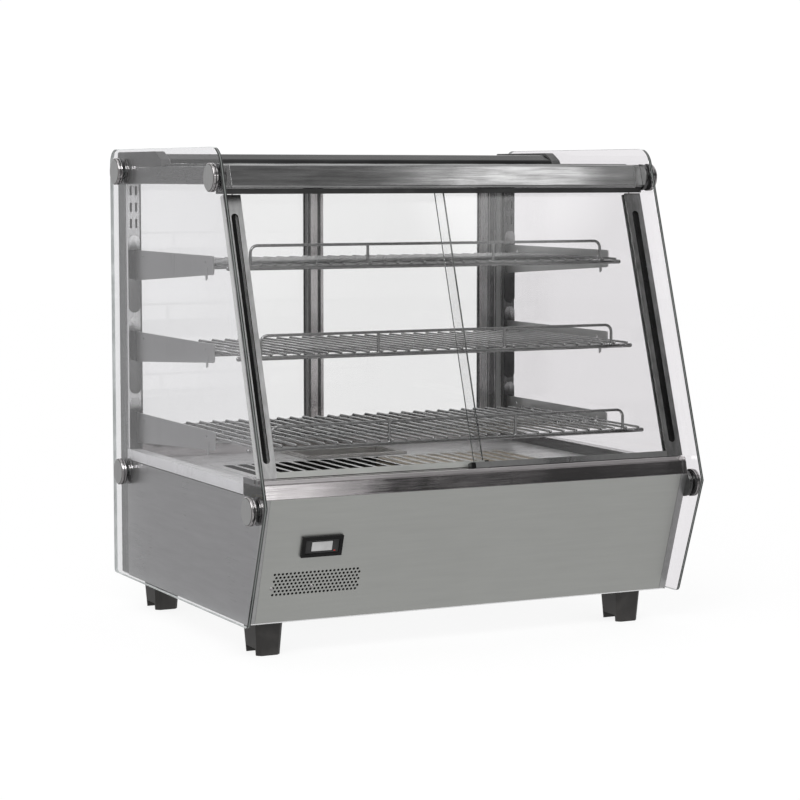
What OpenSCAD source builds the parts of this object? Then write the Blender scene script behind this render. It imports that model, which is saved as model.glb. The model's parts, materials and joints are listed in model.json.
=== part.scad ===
// Hot food display case: a heated countertop cabinet with large side glasses, sliding doors
// at the front and the rear, and three wire shelves on cantilever brackets.
// X is the width, Y points to the rear and Z is up. The origin is on the counter, under the
// middle of the case. All sizes are in millimetres.

/* [Overall] */
// Distance between the outer faces of the two side glasses
glass_span = 660; // [640:1:680]
// Width of the steel body between the side glasses
body_w = 640; // [620:1:640]
// Depth of the side glasses
case_d = 565; // [555:1:600]
// Height of the top edge of the side glasses
case_h = 665.5; // [664:0.5:680]
// Thickness of the side glasses
glass_t = 5; // [4:0.5:6]
// Lean of the front, measured from the vertical
lean = 18; // [17:0.5:19]
// Thickness of the folded sheet steel
sheet = 1.5; // [1:0.1:2]

/* [Base] */
// Height of the feet
foot_h = 45; // [40:1:50]
// Height of the top of the base cabinet
base_top = 215; // [210:1:216]
// Front of the base cabinet at its top edge
base_front_y = -256.5; // [-258:0.5:-255]
// Height of the ledges along the two sides
ledge_top = 231; // [228:1:234]
// Height of the sill that carries the front doors
sill_top = 239; // [238:0.5:241]
// Width of a foot where it meets the counter
foot_w = 33; // [30:1:38]
// Depth of a foot where it meets the counter
foot_d = 45; // [40:1:48]

/* [Vent field and thermometer] */
// Holes in one row of the vent field
vent_cols = 22; // [10:1:24]
// Rows of holes
vent_rows = 7; // [3:1:8]
// Distance between two holes in a row
vent_pitch = 5.65; // [5:0.05:5.8]
// Diameter of a vent hole
vent_d = 3.5; // [2:0.1:4]
// Width of the thermometer bezel
meter_w = 58; // [50:1:62]
// Height of the thermometer bezel
meter_h = 29; // [26:1:32]

/* [Shelves] */
// Height of the front bar of the lowest shelf
shelf_z = 269; // [266:1:272]
// Distance between two shelves
shelf_pitch = 118; // [114:1:120]
// How much further back each shelf starts than the one below it
shelf_step = 33; // [25:1:36]
// Diameter of the wires that run front to back
wire_d = 3.4; // [2.5:0.1:4]
// Diameter of the cross bars
bar_d = 6; // [5:0.5:7]
// Number of wires that run front to back
wire_count = 30; // [20:1:32]
// Height of the guard rail over the front bar
guard_h = 30; // [20:1:36]

/* [Doors] */
// Width of a front door's stile
stile_w = 25; // [20:1:28]
// Thickness of the door glass
door_glass_t = 4; // [3:0.5:5]
// Overlap of the two front doors
door_overlap = 21; // [14:1:30]
// Place of the joint between the two front doors, to the right of the middle
front_joint_x = 4; // [0:1:10]
// Height of the steel profile along the lower edge of a front door
door_profile_h = 8; // [6:0.5:12]
// Width of the rear doors' meeting stiles
rear_stile_w = 26; // [20:1:28]
// Place of the joint between the two rear doors, to the left of the middle
rear_joint_x = 16; // [0:1:20]

/* [Glass fittings] */
// Radius of the round caps on the side glasses
cap_r = 19.1; // [16:0.1:20]
// Thickness of a cap
cap_t = 8; // [6:0.5:9]

/* [Hidden] */
$fn = 48;

gap = 0.3;                               // joint gap between neighbouring panels
slope = tan(lean);
gx = glass_span / 2;                     // outer face of a side glass
gx_in = gx - glass_t;                    // its inner face
bx = body_w / 2;                         // outer face of the body
front_y = -case_d / 2;                   // foremost point, the kink of the side glass
rear_y = case_d / 2;
body_rear = rear_y - 6.5;                // rear face of the posts
glass_low = foot_h;
kink_z = 208;                            // height of the kink in the glass's front edge

// corner posts
post_x = bx - 20;                        // inner face of a post
post_y = body_rear - 28;                 // front face of a post
post_top = 640;
standard_y = post_y - 8;                 // front face of the slotted standards

// header
rail_low = 611;
rail_top = 643;
rail_front = -134;                       // front face at its lower edge
rail_rear = -95;
rail_cap = 10;                           // width of an end cap
track_low = 603.7;
bar_low = 616;                           // underside of the top side bars
header_front = 98;                       // front of the rear housing at its lower edge

// front doors, measured at the height of the sill
door_y = -245;
track_step = 13.7;                       // distance between the two tracks
door_x = bx - 2;                         // nominal outer edge of a closed front door
door_t = 10;
pull_w = 10;
door_low = 0.5;                          // lower edge of a door, along its plane
door_end_w = 6.5;                        // width of the end block of a door's lower profile
door_glass_low = door_low + 3.7;         // lower edge of its glass
door_len = (track_low - sill_top) / cos(lean) - door_low - 1;

// base front and door planes
function front_at(z) = base_front_y + (base_top - z) * slope;
function door_at(z) = door_y + (z - sill_top) * slope;

// deck
deck_z = base_top - sheet + 1;           // underside of the deck's sheet
deck_x = bx - 17.3;
deck_front = -189.7;
deck_rear = standard_y - gap;
grille_w = 483;
grille_y = [-33.5, 120.5];
slot_pitch = 21.6;
slot_shift = -4;                         // the slot field lies a little to the left
slot_count = 21;
slot_r = 7.6;
pan_y = [133, 213];                      // basin of the water pan
pan_x = [-81, 65];
pan_floor = 168;
lip = 9;                                 // flange of the water pan

// shelves, counted from the lowest
shelf_front_y = -165;
shelf_rear_y = 176;
shelf_x = bx - 15.5;
bracket_x = [bx - 14, bx - 12];          // inner and outer face of a bracket plate
bracket_front = -61;
plate_x = [bx - 18.6, bx - 1];           // inner and outer edge of a bracket's mounting plate
plate_t = 1.5;
plate_low = 75;                          // reach of the plate below and above the shelf's bars
plate_high = 37;
bar_places = [-38, 150];                 // shelf bars that lie on the arms

// fastening points of a side glass: front top, rear top, rear bottom, front bottom
studs = [[-123.3, 625.2], [241, 633.5], [238, 199.5], [-244.5, 200.8]];
bolt_r = 4;
spacer_r = cap_r - 0.5;

// rear doors
rear_track = [post_y + 7.2, post_y + 19.3];   // middle of the inner and the outer track
rear_door_t = 9;
rear_door_z = [240, 626];
rear_rail_h = [20, 10];                  // height of a rear door's lower and upper rail
rear_right_x = [-rear_joint_x - 14, post_x - 7];
rear_left_x = [-post_x + 2, -rear_joint_x + 14];
rear_right_stiles = [rear_stile_w, 30];  // left and right stile of the right rear door
rear_left_stiles = [8, rear_stile_w];

// warm air
baffle_x = 20;                           // left edge of the heat baffle
fan_x = -120;
fan_y = 53;
fan_z = 140;
duct_low = 165;

// controls on the rear panel
panel_y = post_y + 10;                   // outer face of the recessed rear panel
knob_x = 150;
switch_x = [70, 105];
control_z = 130;
rocker_w = 19;
rocker_h = 27;
rocker_tilt = 7;
rocker_pin = 3;                          // depth of the rocker's pin behind the panel
gland_x = 240;
gland_z = 85;
gland_bore = 4.6;

module both_sides() {
    children();
    mirror([1, 0, 0]) children();
}

// Extrudes a (Y, Z) outline along X
module along_x(x0, x1) {
    translate([x0, 0, 0]) rotate([90, 0, 90]) linear_extrude(x1 - x0) children();
}

module box(lo, hi) {
    translate(lo) cube(hi - lo);
}

// Round bar from a to b
module rod(r, a, b) {
    v = b - a;
    translate(a) rotate([0, acos(v.z / norm(v)), atan2(v.y, v.x)]) cylinder(r = r, h = norm(v), $fn = 12);
}

// Local Z points out of the leaning base front, local Y runs up along it
module on_front(x, z) {
    translate([x, front_at(z), z]) rotate([90 + lean, 0, 0]) children();
}

// Local Z runs up along the door plane, local Y goes back through the door
module on_door(track) {
    translate([0, door_y + track * track_step, sill_top]) rotate([-lean, 0, 0]) children();
}

// A flat slot with round ends, standing on the XY plane, with its length along Y
module obround(r, length, h) {
    translate([-r, r - length / 2, 0]) cube([2 * r, length - 2 * r, h]);
    for (s = [-1, 1]) translate([0, s * (length / 2 - r), 0]) cylinder(r = r, h = h);
}

function unit(v) = v / norm(v);

// Arc that rounds the corner b between a and c
function corner(a, b, c, r, n = 8) =
    let(
        u = unit(a - b),
        v = unit(c - b),
        half = acos(u * v) / 2,
        mid = b + unit(u + v) * r / sin(half),
        s = b + u * r / tan(half) - mid,
        e = b + v * r / tan(half) - mid,
        t0 = atan2(s.y, s.x),
        raw = atan2(e.y, e.x) - t0,
        turn = raw > 180 ? raw - 360 : raw < -180 ? raw + 360 : raw
    )
    [for (i = [0:n]) mid + r * [cos(t0 + turn * i / n), sin(t0 + turn * i / n)]];

// Closed outline with a radius at each corner
function outline(pts, radii) =
    let(k = len(pts))
    [for (i = [0:k - 1])
        each radii[i] == 0 ? [pts[i]] : corner(pts[(i + k - 1) % k], pts[i], pts[(i + 1) % k], radii[i])];

// ---- base cabinet ----

module base_front_section(z0, z1) {
    polygon([
        [front_at(z0), z0], [front_at(z0) + sheet / cos(lean), z0],
        [front_at(z1) + sheet / cos(lean), z1], [front_at(z1), z1]
    ]);
}

module stud_holes(r) {
    for (s = studs) translate(s) circle(r = r);
}

module base_side() {
    along_x(bx - sheet, bx) difference() {
        polygon([
            [front_at(foot_h), foot_h], [post_y - gap, foot_h],
            [post_y - gap, base_top], [front_at(base_top), base_top]
        ]);
        stud_holes(bolt_r + 0.2);
    }
    along_x(bx - 10, bx - sheet) base_front_section(foot_h + sheet + gap, base_top);
}

module base_sides() {
    color("silver") both_sides() base_side();
}

meter_x = -229.2;
meter_z = 149;
vent_x = -229.5;
vent_z = 99;
vent_row_pitch = 4.9;

module front_panel() {
    color("silver") difference() {
        along_x(-bx + 10 + gap, bx - 10 - gap) base_front_section(foot_h + sheet + gap, base_top);
        on_front(meter_x, meter_z) translate([-24, -12.5, -6]) cube([48, 25, 12]);
        for (row = [0:vent_rows - 1], col = [0:vent_cols - 1])
            on_front(
                vent_x + (col - (vent_cols - 1) / 2 + (row % 2 - 0.5) / 2) * vent_pitch,
                vent_z + (row - (vent_rows - 1) / 2) * vent_row_pitch * cos(lean)
            ) translate([0, 0, -4]) cylinder(d = vent_d, h = 8, $fn = 16);
    }
}

module bottom_plate() {
    color("silver") difference() {
        box([-bx + sheet + gap, front_at(foot_h + sheet) + 1, foot_h],
            [bx - sheet - gap, body_rear, foot_h + sheet]);
        for (i = [-4:4]) translate([fan_x + i * 12, fan_y, foot_h - 1]) obround(2.5, 90, 4);
        for (p = foot_places) translate([p.x, p.y, foot_h - 1]) cylinder(r = 3.2, h = 4);
    }
}

module rear_panel() {
    color("gainsboro") difference() {
        box([-post_x + gap, panel_y - sheet, foot_h + sheet + gap], [post_x - gap, panel_y, base_top]);
        translate([knob_x, panel_y - 5, control_z]) rotate([-90, 0, 0]) cylinder(r = 6, h = 10);
        for (x = switch_x)
            box([x - 12.5, panel_y - 5, control_z - 16.5], [x + 12.5, panel_y + 5, control_z + 16.5]);
        translate([gland_x, panel_y - 5, gland_z]) rotate([-90, 0, 0]) cylinder(r = 8.3, h = 10);
        for (i = [0:11]) translate([-230 + i * 14, panel_y - 5, 120]) rotate([-90, 0, 0])
            obround(2.5, 60, 10);
    }
}

module side_ledge() {
    x0 = deck_x + gap;
    y0 = deck_front + gap;
    y1 = post_y - gap;
    difference() {
        box([x0, y0, base_top + gap], [bx, y1, ledge_top]);
        box([x0 + sheet, y0 - 1, base_top - 1], [bx - sheet, y1 + 1, ledge_top - sheet]);
    }
}

module side_ledges() {
    color("silver") both_sides() side_ledge();
}

// The sill's front face has a groove near its top, where its cover meets the door track
module front_sill() {
    low = base_top + gap;
    top_t = 8;
    y0 = front_at(base_top);
    y1 = deck_front;
    groove_z = sill_top - 5.6;
    groove_h = 0.9;
    groove_y = y0 + 4.2;
    color("silver") along_x(-bx, bx) difference() {
        polygon(outline([
            [y0, low], [groove_y, groove_z], [groove_y + 1.2, groove_z],
            [groove_y + 1.2, groove_z + groove_h], [groove_y, groove_z + groove_h],
            [groove_y + 3.2, sill_top], [y1, sill_top], [y1, low]
        ], [0, 0.5, 0, 0, 0.4, 1.2, 2, 0]));
        polygon([
            [y0 + sheet, low - 1], [groove_y + sheet, groove_z - 2.5], [groove_y + 7, sill_top - top_t],
            [y1 - sheet, sill_top - top_t], [y1 - sheet, low - 1]
        ]);
        for (i = [0, 1]) translate([door_y + i * track_step, sill_top - 6]) square([6, 7]);
    }
}

module rear_sill() {
    color("silver") along_x(-post_x + gap, post_x - gap) difference() {
        polygon([[standard_y, base_top + gap], [standard_y, sill_top], [body_rear, sill_top],
                 [body_rear, base_top + gap]]);
        polygon([[standard_y + sheet, base_top - 1], [standard_y + sheet, sill_top - 8],
                 [body_rear - sheet, sill_top - 8], [body_rear - sheet, base_top - 1]]);
        for (y = rear_track) translate([y - 3, sill_top - 6]) square([6, 7]);
    }
}

module deck_plate() {
    z0 = deck_z;
    color("gainsboro") difference() {
        box([-deck_x, deck_front + gap, z0], [deck_x, deck_rear, z0 + sheet]);
        box([-grille_w / 2 - 0.5, grille_y[0] - 0.5, z0 - 1],
            [grille_w / 2 + 0.5, grille_y[1] + 0.5, z0 + sheet + 1]);
        box([pan_x[0] - 1, pan_y[0] - 1, z0 - 1], [pan_x[1] + 1, pan_y[1] + 1, z0 + sheet + 1]);
    }
}

module air_grille() {
    z0 = deck_z;
    color("gainsboro") difference() {
        box([-grille_w / 2, grille_y[0], z0], [grille_w / 2, grille_y[1], z0 + sheet]);
        for (i = [0:slot_count - 1])
            translate([
                slot_shift + (i - (slot_count - 1) / 2) * slot_pitch, (grille_y[0] + grille_y[1]) / 2, z0 - 1
            ]) obround(slot_r, grille_y[1] - grille_y[0] - 17, sheet + 2);
    }
}

// Trough under the grille, with a round inlet over the fan
module air_duct() {
    x = grille_w / 2 - 1;
    y0 = grille_y[0] + 1;
    y1 = grille_y[1] - 1;
    top = deck_z - gap;
    color("dimgray") difference() {
        box([-x, y0, duct_low], [x, y1, top]);
        box([-x + 1, y0 + 1, duct_low + 1], [x - 1, y1 - 1, top + 1]);
        translate([fan_x, fan_y, duct_low - 1]) cylinder(r = 47, h = 3);
    }
}

// Pale sheet that throws heat up close under the right half of the grille
module heat_baffle() {
    x1 = grille_w / 2 - 3;
    z = deck_z - gap;
    y0 = grille_y[0] + 3;
    y1 = grille_y[1] - 3;
    color("tan") {
        box([baffle_x, y0, z - 1], [x1, y1, z]);
        for (x = [baffle_x, x1 - 1]) box([x, y0, duct_low + 1 + gap], [x + 1, y1, z - 0.5]);
    }
}

// Sheathed element: three straight runs joined by half turns
module heating_element() {
    r = 4;
    run = 180;
    pitch = 32;
    z = 187;
    color("dimgray") translate([-125, 53.5, z]) {
        for (i = [-1:1]) translate([-run / 2, i * pitch, 0]) rotate([0, 90, 0]) cylinder(r = r, h = run);
        translate([run / 2, -pitch / 2, 0]) half_turn(pitch / 2, r, -90);
        translate([-run / 2, pitch / 2, 0]) half_turn(pitch / 2, r, 90);
        for (x = [-70, 70]) box([x - 2, -44, duct_low + 1.2 - z], [x + 2, 44, -r - 0.2]);
    }
}

module half_turn(radius, r, start) {
    rotate([0, 0, start]) rotate_extrude(angle = 180) translate([radius, 0]) circle(r = r);
}

module fan_motor() {
    color("darkslategray") {
        translate([fan_x, fan_y, fan_z - 46]) cylinder(r = 28, h = 40);
        translate([fan_x, fan_y, fan_z - 10]) cylinder(r = 3, h = 27);
        for (a = [0:2]) translate([fan_x, fan_y, 0]) rotate([0, 0, a * 120])
            box([20, -6, foot_h + sheet + gap], [34, 6, fan_z - 40]);
    }
}

module fan_wheel() {
    color("gray") translate([fan_x, fan_y, fan_z]) {
        difference() {
            cylinder(r = 13, h = 14);
            translate([0, 0, -1]) cylinder(r = 3.05, h = 16);
        }
        for (a = [0:6]) rotate([0, 0, a * 360 / 7])
            translate([12, 0, 7]) rotate([35, 0, 0]) translate([0, -7, -0.8]) cube([30, 14, 1.6]);
    }
}

module insulation() {
    color("khaki") difference() {
        box([-deck_x + 3, deck_front + 6, base_top - 18], [deck_x - 3, deck_rear - 5, base_top - 1.5]);
        box([-grille_w / 2 - 2, grille_y[0] - 2, base_top - 20],
            [grille_w / 2 + 2, grille_y[1] + 2, base_top]);
        box([pan_x[0] - 4, grille_y[1], base_top - 20], [pan_x[1] + 4, pan_y[1] + 5, base_top]);
    }
}

// ---- controls ----

module thermostat_body() {
    color("ivory") {
        box([knob_x - 20, panel_y - sheet - 34, control_z - 20],
            [knob_x + 20, panel_y - sheet - gap, control_z + 20]);
        translate([knob_x, panel_y - 3, control_z]) rotate([-90, 0, 0]) cylinder(r = 3, h = 14);
    }
}

module thermostat_knob() {
    color("black") translate([knob_x, panel_y + 1, control_z]) rotate([-90, 0, 0]) difference() {
        union() {
            cylinder(r = 19, h = 4);
            cylinder(r = 15, h = 16);
            translate([-3, -18, 0]) cube([6, 36, 16]);
        }
        translate([0, 0, -1]) cylinder(r = 3.05, h = 12);
    }
}

// Rocker button that turns on a cross pin
module rocker(x) {
    translate([x, panel_y - rocker_pin, control_z]) {
        rotate([-rocker_tilt, 0, 0]) difference() {
            translate([-rocker_w / 2, -5, -rocker_h / 2]) cube([rocker_w, 12, rocker_h]);
            for (s = [-1, 1]) translate([-rocker_w, 18.6, s * 9]) rotate([0, 90, 0])
                cylinder(r = 13, h = 2 * rocker_w);
        }
        for (s = [-1, 1]) translate([s * (rocker_w / 2 + 0.9), 0, 0]) rotate([0, 90, 0])
            cylinder(r = 1.5, h = 2, center = true);
    }
}

module power_rocker() {
    color("red") rocker(switch_x[0]);
}

module light_rocker() {
    color("green") rocker(switch_x[1]);
}

module switch_frame(x) {
    difference() {
        union() {
            box([x - 15, panel_y + 0.1, control_z - 19], [x + 15, panel_y + 2, control_z + 19]);
            box([x - 12.2, panel_y - 26, control_z - 16.2], [x + 12.2, panel_y + 0.2, control_z + 16.2]);
        }
        box([x - rocker_w / 2 - 0.4, panel_y - 14, control_z - rocker_h / 2 - 1.2],
            [x + rocker_w / 2 + 0.4, panel_y + 5, control_z + rocker_h / 2 + 1.2]);
        translate([x, panel_y - rocker_pin, control_z]) rotate([0, 90, 0])
            cylinder(r = 1.55, h = 23.6, center = true);
    }
}

module switch_frames() {
    color("black") for (x = switch_x) switch_frame(x);
}

module terminal_block() {
    z0 = foot_h + sheet + gap;
    color("white") difference() {
        union() {
            box([190, 200, z0], [250, 222, z0 + 6]);
            box([194, 203, z0 + 6], [246, 219, z0 + 20]);
        }
        for (i = [0:4]) translate([200 + i * 10, 211, z0 + 12]) cylinder(r = 2.6, h = 10);
    }
}

// Loom along the floor of the base, from the terminals to the thermostat, fan and element
module wiring_harness() {
    z = foot_h + sheet + 8;
    route = [[185, 211, z], [150, 211, z], [150, 190, z], [-60, 190, z], [-60, 80, z]];
    color("dimgray") {
        for (i = [0:len(route) - 2]) loom_run(route[i], route[i + 1]);
        for (p = route) translate(p) sphere(r = 4);
        loom_run([150, 211, z], [150, 211, control_z - 22]);
        loom_run([-60, 130, z], [-60, 130, duct_low - 12]);
    }
}

module loom_run(a, b) {
    v = b - a;
    translate(a) rotate([0, acos(v.z / norm(v)), atan2(v.y, v.x)]) cylinder(r = 4, h = norm(v));
}

module cable_gland() {
    color("black") translate([gland_x, panel_y, gland_z]) rotate([-90, 0, 0]) difference() {
        union() {
            translate([0, 0, -8]) cylinder(r = 8, h = 9);
            translate([0, 0, 0.1]) cylinder(r = 12, h = 6, $fn = 6);
            cylinder(r = 9, h = 18);
            translate([0, 0, -8]) cylinder(r = 11.5, h = 5.5, $fn = 6);
        }
        translate([0, 0, -9]) cylinder(r = gland_bore, h = 30);
    }
}

// ---- feet and screws ----

foot_x = [-283, 268];                    // left and right pair
foot_y = [-165, 210];                    // front and rear pair
foot_places = [for (x = foot_x, y = foot_y) [x, y]];
foot_grow = 3;                           // how far each side leans out on its way up
foot_bevel = 5;
front_leg = 8;                           // thickness of the leg in front of the channel
rear_leg = 5;

module foot_slab(turn, width, grow) {
    rotate([90, 0, turn]) linear_extrude(100, center = true) polygon([
        [-width / 2, 0], [width / 2, 0],
        [width / 2 + grow, foot_h - gap], [-width / 2 - grow, foot_h - gap]
    ]);
}

// Tapered block with bevelled corners and a channel across its underside
module foot() {
    diagonal = (foot_w + foot_d) / sqrt(2) - foot_bevel * sqrt(2);
    difference() {
        intersection() {
            foot_slab(0, foot_w, foot_grow);
            foot_slab(90, foot_d, foot_grow);
            foot_slab(45, diagonal, foot_grow * sqrt(2));
            foot_slab(135, diagonal, foot_grow * sqrt(2));
        }
        translate([-foot_w, front_leg - foot_d / 2, -1])
            cube([2 * foot_w, foot_d - front_leg - rear_leg, 10]);
        translate([0, 0, foot_h - 12]) cylinder(r = 3.1, h = 20);
    }
}

module feet() {
    color([0.05, 0.05, 0.05]) for (p = foot_places) translate([p.x, p.y, 0]) foot();
}

module case_screws() {
    color("silver") {
        for (p = foot_places) translate([p.x, p.y, 0]) {
            translate([0, 0, foot_h - 11]) cylinder(r = 2.9, h = 11 + sheet + 0.5);
            translate([0, 0, foot_h + sheet + 0.1]) cylinder(r = 5.5, h = 3);
        }
    }
}

// ---- upper frame ----

module tube_section(lo, hi) {
    difference() {
        translate(lo) square(hi - lo);
        translate(lo + [sheet, sheet]) square(hi - lo - [2 * sheet, 2 * sheet]);
    }
}

module rear_posts() {
    color("silver") both_sides() translate([0, 0, foot_h + sheet + gap])
        linear_extrude(post_top - foot_h - sheet - gap)
            tube_section([post_x, post_y], [bx, body_rear]);
}

module shelf_standard() {
    x0 = post_x + 1;
    x1 = bx - 1;
    z0 = ledge_top + gap;
    z1 = bar_low - gap;
    difference() {
        box([x0, standard_y, z0], [x1, post_y - gap, z1]);
        box([x0 + sheet, standard_y + sheet, z0 - 1], [x1 - sheet, post_y, z1 + 1]);
        for (z = [z0 + 14:23.6:z1 - 16], s = [-1, 1])
            translate([(x0 + x1) / 2 + s * 4, standard_y + 1, z + 6.5]) cube([3, 4, 13], center = true);
    }
}

module shelf_standards() {
    color("silver") both_sides() shelf_standard();
}

function rail_shape(inset) = outline([
    [rail_front + inset, rail_low + inset],
    [rail_front + (rail_top - rail_low) * slope + inset, rail_top - inset],
    [rail_rear - inset, rail_top - inset],
    [rail_rear - inset, rail_low + inset]
], inset > 0 ? [2, 2, 1, 1] : [3, 4, 2, 1]);

module header_rail() {
    color("gray") along_x(-bx + rail_cap + gap, bx - rail_cap - gap) difference() {
        polygon(rail_shape(0));
        polygon(rail_shape(2));
    }
}

module header_end_caps() {
    color("gray") both_sides() along_x(bx - rail_cap, bx) difference() {
        polygon(rail_shape(0));
        translate(studs[0]) circle(r = bolt_r + 0.2);
    }
}

// Black guide under the header rail, with one channel for each front door
module header_track() {
    wall = 3;
    y0 = door_at(track_low) - 3.5;
    span = track_step;
    color([0.06, 0.06, 0.06]) along_x(-bx + 1, bx - 1) union() {
        translate([y0, rail_low - gap - 1.5]) square([2 * span + wall, 1.5]);
        for (i = [0:2]) translate([y0 + i * span, track_low]) square([wall, rail_low - gap - track_low]);
    }
}

module top_side_bars() {
    color("silver") both_sides() difference() {
        translate([0, post_y - gap, 0]) rotate([90, 0, 0])
            linear_extrude(post_y - gap - rail_rear - gap)
                tube_section([post_x, bar_low], [bx, post_top]);
        translate([bx - 5, studs[1].x, studs[1].y]) rotate([0, 90, 0]) cylinder(r = bolt_r + 0.2, h = 10);
    }
}

module top_glass() {
    color([0.8, 0.9, 0.88, 0.3])
        box([-bx + 4, rail_rear + gap, post_top + 0.2], [bx - 4, header_front - 2, post_top + 4.2]);
}

function header_shape(z0, top, grow) = outline([
    [body_rear + grow, z0], [body_rear + grow, top], [header_front + 26 - grow, top],
    [header_front + 6 - grow, z0 + 10], [header_front - grow, z0]
], [0, 5, 10, 6, 0]);

module rear_header() {
    z0 = post_top + gap;
    color("dimgray") along_x(-bx + 14 + gap, bx - 14 - gap) difference() {
        polygon(header_shape(z0, 658, 0));
        polygon([[body_rear - 2, z0 - 1], [body_rear - 2, 656], [header_front + 28, 656],
                 [header_front + 8, z0 + 8], [header_front + 8, z0 - 1]]);
    }
}

module rear_header_caps() {
    color("black") both_sides() along_x(bx - 14, bx) polygon(header_shape(post_top + gap, 661.5, 1.5));
}

module rear_top_track() {
    z0 = rear_door_z[1] + 2;
    color([0.06, 0.06, 0.06]) along_x(-post_x + gap, post_x - gap) difference() {
        polygon([[post_y, z0], [body_rear, z0], [body_rear, post_top], [post_y, post_top]]);
        for (y = rear_track) translate([y - 3, z0 - 1]) square([6, 10]);
    }
}

module lamp_tube() {
    r = 6.5;
    z = post_top + 9;
    x = bx - 30;
    color("white") translate([0, header_front + 40, z]) {
        translate([-x, 0, 0]) rotate([0, 90, 0]) cylinder(r = r, h = 2 * x);
        for (s = [-1, 1]) translate([s * (x + 6), 0, 0]) cube([14, 16, 13.5], center = true);
    }
}

// ---- side glasses and their fittings ----

glass_shape = outline([
    [front_y, kink_z], [front_at(glass_low) - 22, glass_low], [rear_y, glass_low],
    [rear_y, case_h], [front_y + (case_h - kink_z) * slope, case_h]
], [0, 8, 6, 22, 30]);

module side_glass() {
    along_x(gx_in, gx) difference() {
        polygon(glass_shape);
        stud_holes(bolt_r + 2);
    }
}

module side_glass_left() {
    color([0.8, 0.9, 0.88, 0.3]) mirror([1, 0, 0]) side_glass();
}

module side_glass_right() {
    color([0.8, 0.9, 0.88, 0.3]) side_glass();
}

module at_studs(x) {
    both_sides() for (s = studs) translate([x, s.x, s.y]) rotate([0, 90, 0]) children();
}

module stud_caps() {
    color("gray") at_studs(gx + 1) difference() {
        rotate_extrude()
            polygon([[0, 0], [cap_r, 0], [cap_r, cap_t - 0.8], [cap_r - 0.8, cap_t], [0, cap_t]]);
        translate([0, 0, -1]) cylinder(r = bolt_r + 0.1, h = 6);
    }
}

module ring(r_out, r_in, h) {
    difference() {
        cylinder(r = r_out, h = h);
        translate([0, 0, -1]) cylinder(r = r_in, h = h + 2);
    }
}

module stud_washers() {
    color([0.06, 0.06, 0.06]) at_studs(gx + 0.1) ring(cap_r - 1.5, bolt_r + 0.2, 0.8);
}

module stud_spacers() {
    color("silver") at_studs(bx + 0.1) ring(spacer_r, bolt_r + 0.2, gx_in - bx - 0.2);
}

module stud_bolts() {
    color("silver") at_studs(bx - 6) cylinder(r = bolt_r, h = gx - bx + 10);
}

// ---- shelves ----

function tier_z(i) = shelf_z + i * shelf_pitch;
function tier_front(i) = shelf_front_y + i * shelf_step;
function tier_wire_z(i) = tier_z(i) + bar_d / 2 + wire_d / 2 - 0.4;

// Cantilever arm with two lugs that carry the shelf's bars
module bracket(i) {
    top = tier_z(i) + 15.5;
    y1 = standard_y - gap - plate_t;
    along_x(bracket_x[0], bracket_x[1]) difference() {
        polygon(outline([
            [bracket_front, top - 25], [y1 + 0.5, top - 44], [y1 + 0.5, top], [bracket_front, top]
        ], [5, 0, 0, 3]));
        for (y = [y1 - 30, bracket_front + 28]) translate([y, top - 9]) circle(r = 2);
    }
    for (y = bar_places) bracket_lug(y, i);
    bracket_hook(bar_places[0], top);
    mounting_plate(tier_z(i) - plate_low, tier_z(i) + plate_high, y1);
}

// Folded hook on the outside of the arm that keeps the shelf's front support bar in place
module bracket_hook(y, top) {
    along_x(bracket_x[1] - 0.2, bracket_x[1] + 1) polygon(outline([
        [y - 3, top - 31], [y + 2, top - 34], [y + 4, top - 16], [y - 4, top - 16]
    ], [1, 1, 0, 0]));
}

// Plate with round ends that carries the arm and lies on the standard
module mounting_plate(low, high, y) {
    r = (plate_x[1] - plate_x[0]) / 2;
    z0 = max(low, ledge_top + gap);
    intersection() {
        translate([plate_x[0] + r, y, (low + high) / 2]) rotate([-90, 0, 0])
            obround(r, high - low, plate_t);
        box([plate_x[0] - 1, y - 1, z0], [plate_x[1] + 1, y + plate_t + 1, high + 1]);
    }
}

module bracket_lug(y, i) {
    low = tier_z(i) - bar_d / 2 - 0.2;
    box([shelf_x - 5, y - 5, low - 2], [bracket_x[0] + 0.5, y + 5, low]);
}

module bracket_pair(i) {
    color("silver") both_sides() bracket(i);
}

module brackets_lower() {
    bracket_pair(0);
}

module brackets_middle() {
    bracket_pair(1);
}

module brackets_upper() {
    bracket_pair(2);
}

// Wire shelf: cross bars below and wires that run front to back above
module shelf(i) {
    zb = tier_z(i);
    zw = tier_wire_z(i);
    y0 = tier_front(i);
    first = -shelf_x + 9;
    pitch = -2 * first / (wire_count - 1);
    near = bar_places[0];
    far = bar_places[1];
    bars = [y0, near, (near + far) / 2, far, shelf_rear_y];
    color("lightgray") {
        for (y = bars) rod(bar_d / 2, [-shelf_x, y, zb], [shelf_x, y, zb]);
        for (n = [0:wire_count - 1]) {
            x = first + n * pitch;
            rod(wire_d / 2, [x, y0 - bar_d / 2, zw], [x, shelf_rear_y + bar_d / 2, zw]);
        }
    }
}

module shelf_lower() {
    shelf(0);
}

module shelf_middle() {
    shelf(1);
}

module shelf_upper() {
    shelf(2);
}

guard_x = 270;
guard_post_x = 97;

// Guard rail: a bent wire with two posts, standing on the shelf's front bar
module guard(i) {
    r = 2;
    bend = 10;
    y = tier_front(i);
    z0 = tier_z(i) + bar_d / 2 + 0.05;
    z1 = tier_z(i) + guard_h;
    rod(r, [-guard_x + bend, y, z1], [guard_x - bend, y, z1]);
    both_sides() {
        rod(r, [guard_x, y, z0], [guard_x, y, z1 - bend]);
        translate([guard_x - bend, y, z1 - bend]) rotate([90, 0, 0])
            rotate_extrude(angle = 90) translate([bend, 0]) circle(r = r, $fn = 16);
        rod(r, [guard_post_x, y, z0], [guard_post_x, y, z1]);
    }
}

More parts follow.
